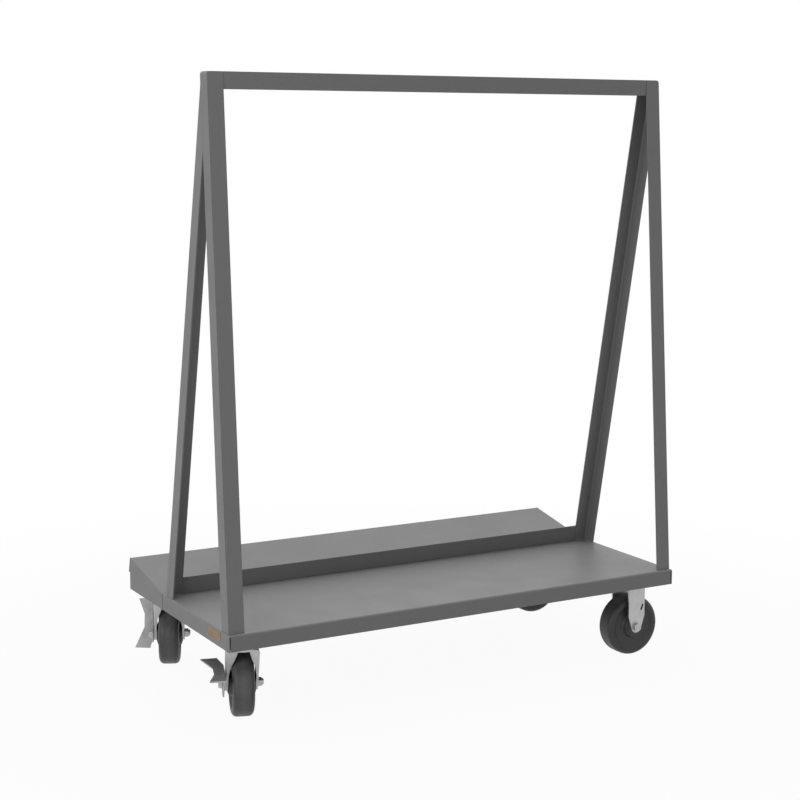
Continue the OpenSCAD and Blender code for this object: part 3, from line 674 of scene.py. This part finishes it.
class CART_OT_lay_welds(bpy.types.Operator):
    """Lay the weld beads at the legs' feet, along the stop plate and seam, and under the deck"""

    bl_idname = "cart.lay_welds"
    bl_label = "Lay welds"

    def execute(self, context):
        sizes = context.scene.cart_shape
        for name, runs in (
            ("foot_welds", self.foot_runs()),
            ("stop_plate_welds", self.plate_runs(sizes.stitch)),
            ("seam_weld", self.seam_run()),
            ("channel_welds", self.channel_runs(sizes.stitch)),
        ):
            beads = [self.bead(start, end, sizes) for start, end in runs]
            finish_piece(name, joined(beads), "painted_steel", "chassis")
        return {"FINISHED"}

    def bead(self, start, end, sizes):
        """Rippled bead from one point to another."""
        length = (end - start).length
        count = max(LEAST_RIPPLES, round(length / sizes.bead_pitch))
        rings = [round_ring(0, BEAD_END * sizes.bead)]
        for ripple in range(count):
            crest = length * (ripple + RIPPLE_CREST) / count
            neck = length * (ripple + RIPPLE_NECK) / count
            rings += [round_ring(crest, sizes.bead), round_ring(neck, BEAD_NECK * sizes.bead)]
        rings.append(round_ring(length, BEAD_END * sizes.bead))
        turned = (end - start).to_track_quat("X", "Z").to_matrix().to_4x4()
        return placed(stacked(rings, sides=BEAD_SIDES), Matrix.Translation(start) @ turned)

    def foot_runs(self):
        """Runs in the hollow of each leg's foot, along both walls of the angle."""
        runs = []
        for row, back in (("front", 1), ("rear", -1)):
            for side, inward in (("left", 1), ("right", -1)):
                low, high = box_corners(f"{row}_leg_{side}")
                outer = low.x if inward > 0 else high.x
                face = low.y if back > 0 else high.y
                length = high.x - low.x - 2 * ANGLE_WALL
                heel = Vector((outer + inward * ANGLE_WALL, face + back * ANGLE_WALL, low.z))
                runs.append((heel, heel + Vector((inward * length, 0, 0))))
                runs.append((heel, heel + Vector((0, back * length, 0))))
        return runs

    def stitches(self, start, end, count, length):
        """Evenly spaced short runs between two points."""
        along = (end - start).normalized() * length / 2
        middles = [start.lerp(end, (place + 0.5) / count) for place in range(count)]
        return [(middle - along, middle + along) for middle in middles]

    def plate_runs(self, length):
        """Stitches along the back of the stop plate's foot."""
        low, high = box_corners("stop_plate")
        ends = (Vector((x, high.y, low.z)) for x in (low.x, high.x))
        return self.stitches(*ends, PLATE_STITCHES, length)

    def seam_run(self):
        """Run that closes the seam between the deck and the ledge, from leg to leg."""
        deck = box_corners("front_deck")[1]
        middle = (deck.y + box_corners("rear_ledge")[0].y) / 2
        ends = (box_corners("rear_leg_left")[1].x, box_corners("rear_leg_right")[0].x)
        return [tuple(Vector((x, middle, deck.z)) for x in ends)]

    def channel_runs(self, length):
        """Stitches where the caster channels' walls meet the deck."""
        front, back = (corner.y for corner in box_corners("front_deck"))
        runs = []
        for side in ("left", "right"):
            low, high = box_corners(f"{side}_caster_channel")
            for wall in (low.x, high.x):
                ends = (Vector((wall, y, high.z)) for y in (front, back))
                runs += self.stitches(*ends, CHANNEL_STITCHES, length)
        return runs


class CART_OT_form_casters(bpy.types.Operator):
    """Round the edges of the casters' plates, forks and levers, and plate them"""

    bl_idname = "cart.form_casters"
    bl_label = "Form casters"

    def execute(self, context):
        width = context.scene.cart_shape.caster_edge
        for caster in CASTERS:
            soften(f"{caster}_fork", width, "zinc_plate")
        for caster in SWIVELS:
            soften(f"{caster}_top_plate", width, "zinc_plate")
            soften(f"{caster}_brake_lever", width, "zinc_plate", "dull_plate")
        return {"FINISHED"}


# Axle bolts and lock nuts: the head's height as a share of its width over the corners, the
# hexagon's share of the nut's height, and the collar's radius as a share of the bolt's diameter
AXLE_RADIUS = 0.00635
HEAD_SHARE = 0.345
NUT_SHARE = 0.75
COLLAR_SHARE = 0.66

# Caster bolts and nuts: the head's height, and its reach over the corners in bolt radii
BOLT_RADIUS = 0.00475
BOLT_HEAD = 0.0062
HEX_REACH = 1.74
THREAD_CLEAR = 0.00006

# Pieces that keep their own shape, with their finish
AXLE_PIECES = {
    "axle_sleeve": "hardware", "hub_washers": "thrust_washer", "rollers": "hardware",
}
SWIVEL_PIECES = ("kingpin", "kingpin_nut", "balls", "brake_cam", "brake_washer")


class CART_OT_fit_fasteners(bpy.types.Operator):
    """Fit chamfered bolts and nuts, and give the bearings and washers their finish"""

    bl_idname = "cart.fit_fasteners"
    bl_label = "Fit fasteners"

    def execute(self, context):
        for caster in CASTERS:
            self.fit_axle(caster)
        self.fit_caster_bolts()
        dress_node("caster_washers", "hardware")
        for caster in CASTERS:
            for piece, finish in AXLE_PIECES.items():
                dress_node(f"{caster}_{piece}", finish)
        for caster in SWIVELS:
            for piece in SWIVEL_PIECES:
                dress_node(f"{caster}_{piece}", "hardware")
        return {"FINISHED"}

    def fit_axle(self, caster):
        """Bolt and lock nut on a wheel's axle."""
        place = axle_frame(caster)
        node = f"{caster}_axle_bolt"
        start, tip, reach = extent(node, place)
        bolt = bolt_shape(start, start + HEAD_SHARE * 2 * reach, tip, reach, AXLE_RADIUS)
        stand_in(node, "formed", placed(bolt, place), "hardware")
        node = f"{caster}_axle_nut"
        start, end, reach = extent(node, place)
        nut = nut_shape(
            start, start + NUT_SHARE * (end - start), end, reach,
            COLLAR_SHARE * 2 * AXLE_RADIUS, AXLE_RADIUS + THREAD_CLEAR)
        stand_in(node, "formed", placed(nut, place), "hardware")

    def fit_caster_bolts(self):
        """Bolts up through the caster plates, with their nuts."""
        upward = Matrix.Rotation(-math.pi / 2, 4, "Y")
        for node, form in (("caster_bolts", self.caster_bolt), ("caster_nuts", self.caster_nut)):
            low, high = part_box(node)
            shape = form((high[2] - low[2]) / 2)
            places = [Matrix.Translation(middle) @ upward for middle in loose_middles(node)]
            stand_in(node, "formed", repeated(shape, places), "hardware")

    def caster_bolt(self, half):
        """One caster bolt about its own middle."""
        return bolt_shape(-half, BOLT_HEAD - half, half, HEX_REACH * BOLT_RADIUS, BOLT_RADIUS)

    def caster_nut(self, half):
        """One caster nut about its own middle, without a collar."""
        bore = BOLT_RADIUS + THREAD_CLEAR
        return nut_shape(-half, half, half, HEX_REACH * BOLT_RADIUS, 0, bore)


# Corners of a wheel's left side, from its bore to its tread: place across the wheel, distance
# from the axle, and rounding
WHEEL_FACE = (
    (-0.03015, 0.0143, 0.0005), (-0.03015, 0.0280, 0.0015), (-0.0250, 0.0286, 0),
    (-0.0194, 0.0320, 0.0022), (-0.0194, 0.0530, 0.0022), (-0.0254, 0.0590, 0.0016),
    (-0.0254, 0.0614, 0.0002), (-0.0247, 0.0618, 0.0002), (-0.0247, 0.0628, 0.0002),
    (-0.0254, 0.0632, 0.0002),
)
WHEEL_STEPS = 96

# Fall of the tread to its shoulders, and half widths of the parting line's foot and top
TREAD_CROWN = 0.0006
PARTING_FOOT = 0.0008
PARTING_TOP = 0.0002

# Segments of a rounding, and the radius past which it is a wide one
WIDE_ROUNDING = 0.005
WIDE_SEGMENTS = 9
NARROW_SEGMENTS = 3

# Depth of the tread skin that takes the painted highlight, and its reach from the middle of the
# tread
TREAD_DEPTH = 0.004
TREAD_REACH = 0.02


class CART_OT_turn_wheels(bpy.types.Operator):
    """Turn the moulded wheels, with their hubs, side recesses and parting line"""

    bl_idname = "cart.turn_wheels"
    bl_label = "Turn wheels"

    def execute(self, context):
        for caster in CASTERS:
            node = f"{caster}_wheel"
            place = axle_frame(caster)
            wheel = self.turned_wheel(context.scene.cart_shape, extent(node, place)[2])
            stand_in(node, "turned", placed(wheel, place), "moulded_wheel")
        return {"FINISHED"}

    def turned_wheel(self, sizes, radius):
        """Wheel about the X axis, spun from its section."""
        edge = WHEEL_FACE[-1][0]
        left = WHEEL_FACE + (
            (edge, radius - TREAD_CROWN, sizes.shoulder),
            (-PARTING_FOOT, radius - sizes.parting_line, 0),
            (-PARTING_TOP, radius, 0),
        )
        section = left + tuple((-across, out, soft) for across, out, soft in reversed(left))
        shape = bmesh.new()
        corners = [shape.verts.new((across, 0, out)) for across, out, soft in section]
        shape.faces.new(corners)
        for corner, (across, out, soft) in zip(corners, section):
            if soft:
                segments = WIDE_SEGMENTS if soft > WIDE_ROUNDING else NARROW_SEGMENTS
                bmesh.ops.bevel(
                    shape, geom=[corner], offset=soft, offset_type="OFFSET", affect="VERTICES",
                    segments=segments, profile=0.5, material=-1, clamp_overlap=True)
        bmesh.ops.delete(shape, geom=shape.faces[:], context="FACES_ONLY")
        bmesh.ops.spin(
            shape, geom=shape.verts[:] + shape.edges[:], cent=(0, 0, 0), axis=(1, 0, 0),
            angle=2 * math.pi, steps=WHEEL_STEPS, use_merge=True)
        bmesh.ops.remove_doubles(shape, verts=shape.verts, dist=MERGE_DISTANCE)
        bmesh.ops.recalc_face_normals(shape, faces=shape.faces)
        # Painted highlight on the tread skin, strongest at its middle and gone by its reach
        tone_layer = shape.verts.layers.float.new("tread_wear")
        for vertex in shape.verts:
            if math.hypot(vertex.co.y, vertex.co.z) > radius - TREAD_DEPTH:
                vertex[tone_layer] = max(0.0, 1.0 - (vertex.co.x / TREAD_REACH) ** 2)
        return shape


# Segments of the name plate's corners, and the least share of a face's normal that faces out
CORNER_SEGMENTS = 5
FACING_OUT = 0.9

# Slope inside the name plate's rim in rim widths, and its depth in plate thicknesses
RIM_SLOPE = 0.2
RIM_DEPTH = 0.25


class CART_OT_fit_name_plate(bpy.types.Operator):
    """Stamp the bare name plate, with rounded corners and a raised rim"""

    bl_idname = "cart.fit_name_plate"
    bl_label = "Fit name plate"

    def execute(self, context):
        sizes = context.scene.cart_shape
        low, high = box_corners("name_plate")
        shape = bmesh.new()
        bmesh.ops.create_cube(shape, size=1.0)
        bmesh.ops.scale(shape, vec=high - low, verts=shape.verts)
        bmesh.ops.translate(shape, vec=(low + high) / 2, verts=shape.verts)
        corners = [
            edge for edge in shape.edges
            if abs(edge.verts[0].co.x - edge.verts[1].co.x) > MERGE_DISTANCE
        ]
        bmesh.ops.bevel(
            shape, geom=corners, offset=sizes.plate_corner, offset_type="OFFSET",
            affect="EDGES", segments=CORNER_SEGMENTS, profile=0.5, material=-1,
            clamp_overlap=True)
        front = [face for face in shape.faces if face.normal.x < -FACING_OUT]
        bmesh.ops.inset_region(shape, faces=front, thickness=sizes.plate_rim, depth=0)
        bmesh.ops.inset_region(
            shape, faces=front, thickness=RIM_SLOPE * sizes.plate_rim,
            depth=-RIM_DEPTH * (high - low).x)
        stand_in("name_plate", "stamped", shape, "name_plate")
        return {"FINISHED"}


WHITE = (1, 1, 1, 1)

# Half width of the floor, and its drop below the wheels
FLOOR_REACH = 30.0
FLOOR_DROP = 0.0004

# Whiteness of the floor round the cart, and the distances over which it grows to full white
FLOOR_WHITE = 0.95
FLOOR_NEAR = 0.9
FLOOR_FAR = 2.0

# Lean of the overhead light to the rear, and how closely it gathers about its axis
SKY_LEAN = math.radians(9)
SKY_AXIS = (0, math.sin(SKY_LEAN), math.cos(SKY_LEAN))
SKY_FOCUS = 4.0

# Broad lamp at the front left
LAMP_PLACE = Vector((-3.6, -1.75, 1.45))
LAMP_TARGET = Vector((0, 0, 0.5))
LAMP_WIDTH = 1.8

# Width of the picture that the focal length is given for, in millimetres
PICTURE_WIDTH = 36


class CART_OT_set_stage(bpy.types.Operator):
    """Make the floor, the light and the camera"""

    bl_idname = "cart.set_stage"
    bl_label = "Set stage"

    def execute(self, context):
        stage = context.scene.cart_stage
        self.make_floor(context.scene, stage)
        self.make_sky(context.scene, stage)
        self.hang_lamp(context.scene, stage)
        self.place_camera(context.scene, stage)
        context.scene.view_settings.view_transform = "Standard"
        return {"FINISHED"}

    def make_floor(self, scene, stage):
        """Pale floor that shows as white and keeps the cart's shadow."""
        shape = bmesh.new()
        bmesh.ops.create_grid(shape, x_segments=1, y_segments=1, size=FLOOR_REACH)
        bmesh.ops.translate(shape, verts=shape.verts, vec=(0, 0, -FLOOR_DROP))
        mesh = bpy.data.meshes.new("floor")
        shape.to_mesh(mesh)
        shape.free()
        material = bpy.data.materials.new("floor")
        nodes = ShaderNodes(material, "ShaderNodeOutputMaterial")
        matt = nodes.add("ShaderNodeBsdfDiffuse", {"Color": (*stage.floor_colour, 1)})
        glow = nodes.add("ShaderNodeEmission", {"Color": WHITE, "Strength": 1.0})
        place = nodes.add("ShaderNodeTexCoord").outputs["Object"]
        reach = nodes.add("ShaderNodeVectorMath", {0: place}, operation="LENGTH")
        white = nodes.spread(
            reach.outputs["Value"], (FLOOR_NEAR, FLOOR_FAR), to=(FLOOR_WHITE, 1.0))
        seen = nodes.combine("MULTIPLY", nodes.seen_rays(), white)
        shaders = {0: seen, 1: matt.outputs[0], 2: glow.outputs[0]}
        nodes.show(nodes.add("ShaderNodeMixShader", shaders))
        mesh.materials.append(material)
        floor = bpy.data.objects.new("floor", mesh)
        scene.collection.objects.link(floor)

    def make_sky(self, scene, stage):
        """Surroundings that look white all over and light the cart softly, mostly from above."""
        scene.world = bpy.data.worlds.new("studio")
        nodes = ShaderNodes(scene.world, "ShaderNodeOutputWorld")
        ray = nodes.add("ShaderNodeTexCoord").outputs["Generated"]
        height = nodes.add("ShaderNodeVectorMath", {0: ray, 1: SKY_AXIS}, operation="DOT_PRODUCT")
        rise = nodes.combine("POWER", nodes.spread(height.outputs["Value"]), SKY_FOCUS)
        light = nodes.spread(rise, to=(stage.all_round, stage.overhead))
        strength = nodes.add("ShaderNodeMix", {
            MIX_SHARE: nodes.seen_rays(), MIX_VALUES[0]: light, MIX_VALUES[1]: 1.0,
        }).outputs[0]
        nodes.show(nodes.add("ShaderNodeBackground", {"Color": WHITE, "Strength": strength}))

    def hang_lamp(self, scene, stage):
        """Broad square lamp that the camera doesn't see."""
        lamp = bpy.data.lights.new("side_lamp", "AREA")
        lamp.shape = "SQUARE"
        lamp.size = LAMP_WIDTH
        lamp.energy = stage.side_light
        hung = bpy.data.objects.new("side_lamp", lamp)
        hung.location = LAMP_PLACE
        hung.rotation_euler = (LAMP_TARGET - LAMP_PLACE).to_track_quat("-Z", "Y").to_euler()
        hung.visible_camera = False
        scene.collection.objects.link(hung)

    def place_camera(self, scene, stage):
        """Camera at the photograph's viewing angle."""
        camera = bpy.data.cameras.new("camera")
        camera.sensor_width = PICTURE_WIDTH
        camera.lens = stage.lens
        camera.shift_x, camera.shift_y = stage.shift
        stood = bpy.data.objects.new("camera", camera)
        stood.matrix_world = (
            Matrix.Translation(stage.camera_at)
            @ Matrix.Rotation(stage.heading, 4, "Z")
            @ Matrix.Rotation(math.pi / 2 - stage.dip, 4, "X")
            @ Matrix.Rotation(stage.roll, 4, "Z")
        )
        scene.collection.objects.link(stood)
        bpy.context.scene.camera = stood


OPERATORS = (
    CART_OT_form_steelwork, CART_OT_lay_welds, CART_OT_form_casters, CART_OT_fit_fasteners,
    CART_OT_turn_wheels, CART_OT_fit_name_plate, CART_OT_set_stage,
)
GROUPS = {"cart_finish": CartFinish, "cart_shape": CartShape, "cart_stage": CartStage}


class CART_PT_finish(bpy.types.Panel):
    """Sizes, colours and steps of the cart's finish"""

    bl_idname = "CART_PT_finish"
    bl_label = "Drywall Cart"
    bl_space_type = "VIEW_3D"
    bl_region_type = "UI"
    bl_category = "Cart"

    def draw(self, context):
        for name, group in GROUPS.items():
            box = self.layout.box()
            for setting in group.__annotations__:
                box.prop(getattr(context.scene, name), setting)
        for operator in OPERATORS:
            self.layout.operator(operator.bl_idname)


CLASSES = (*GROUPS.values(), *OPERATORS, CART_PT_finish)


def register():
    """Make the classes and the scene's settings known to Blender."""
    for made in CLASSES:
        bpy.utils.register_class(made)
    for name, group in GROUPS.items():
        setattr(bpy.types.Scene, name, PointerProperty(type=group))


def unregister():
    """Take the settings and the classes away again."""
    for name in GROUPS:
        delattr(bpy.types.Scene, name)
    for made in reversed(CLASSES):
        bpy.utils.unregister_class(made)


def main():
    """Dress the cart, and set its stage."""
    register()
    bpy.ops.cart.form_steelwork()
    bpy.ops.cart.lay_welds()
    bpy.ops.cart.form_casters()
    bpy.ops.cart.fit_fasteners()
    bpy.ops.cart.turn_wheels()
    bpy.ops.cart.fit_name_plate()
    bpy.ops.cart.set_stage()


if __name__ == "__main__":
    main()
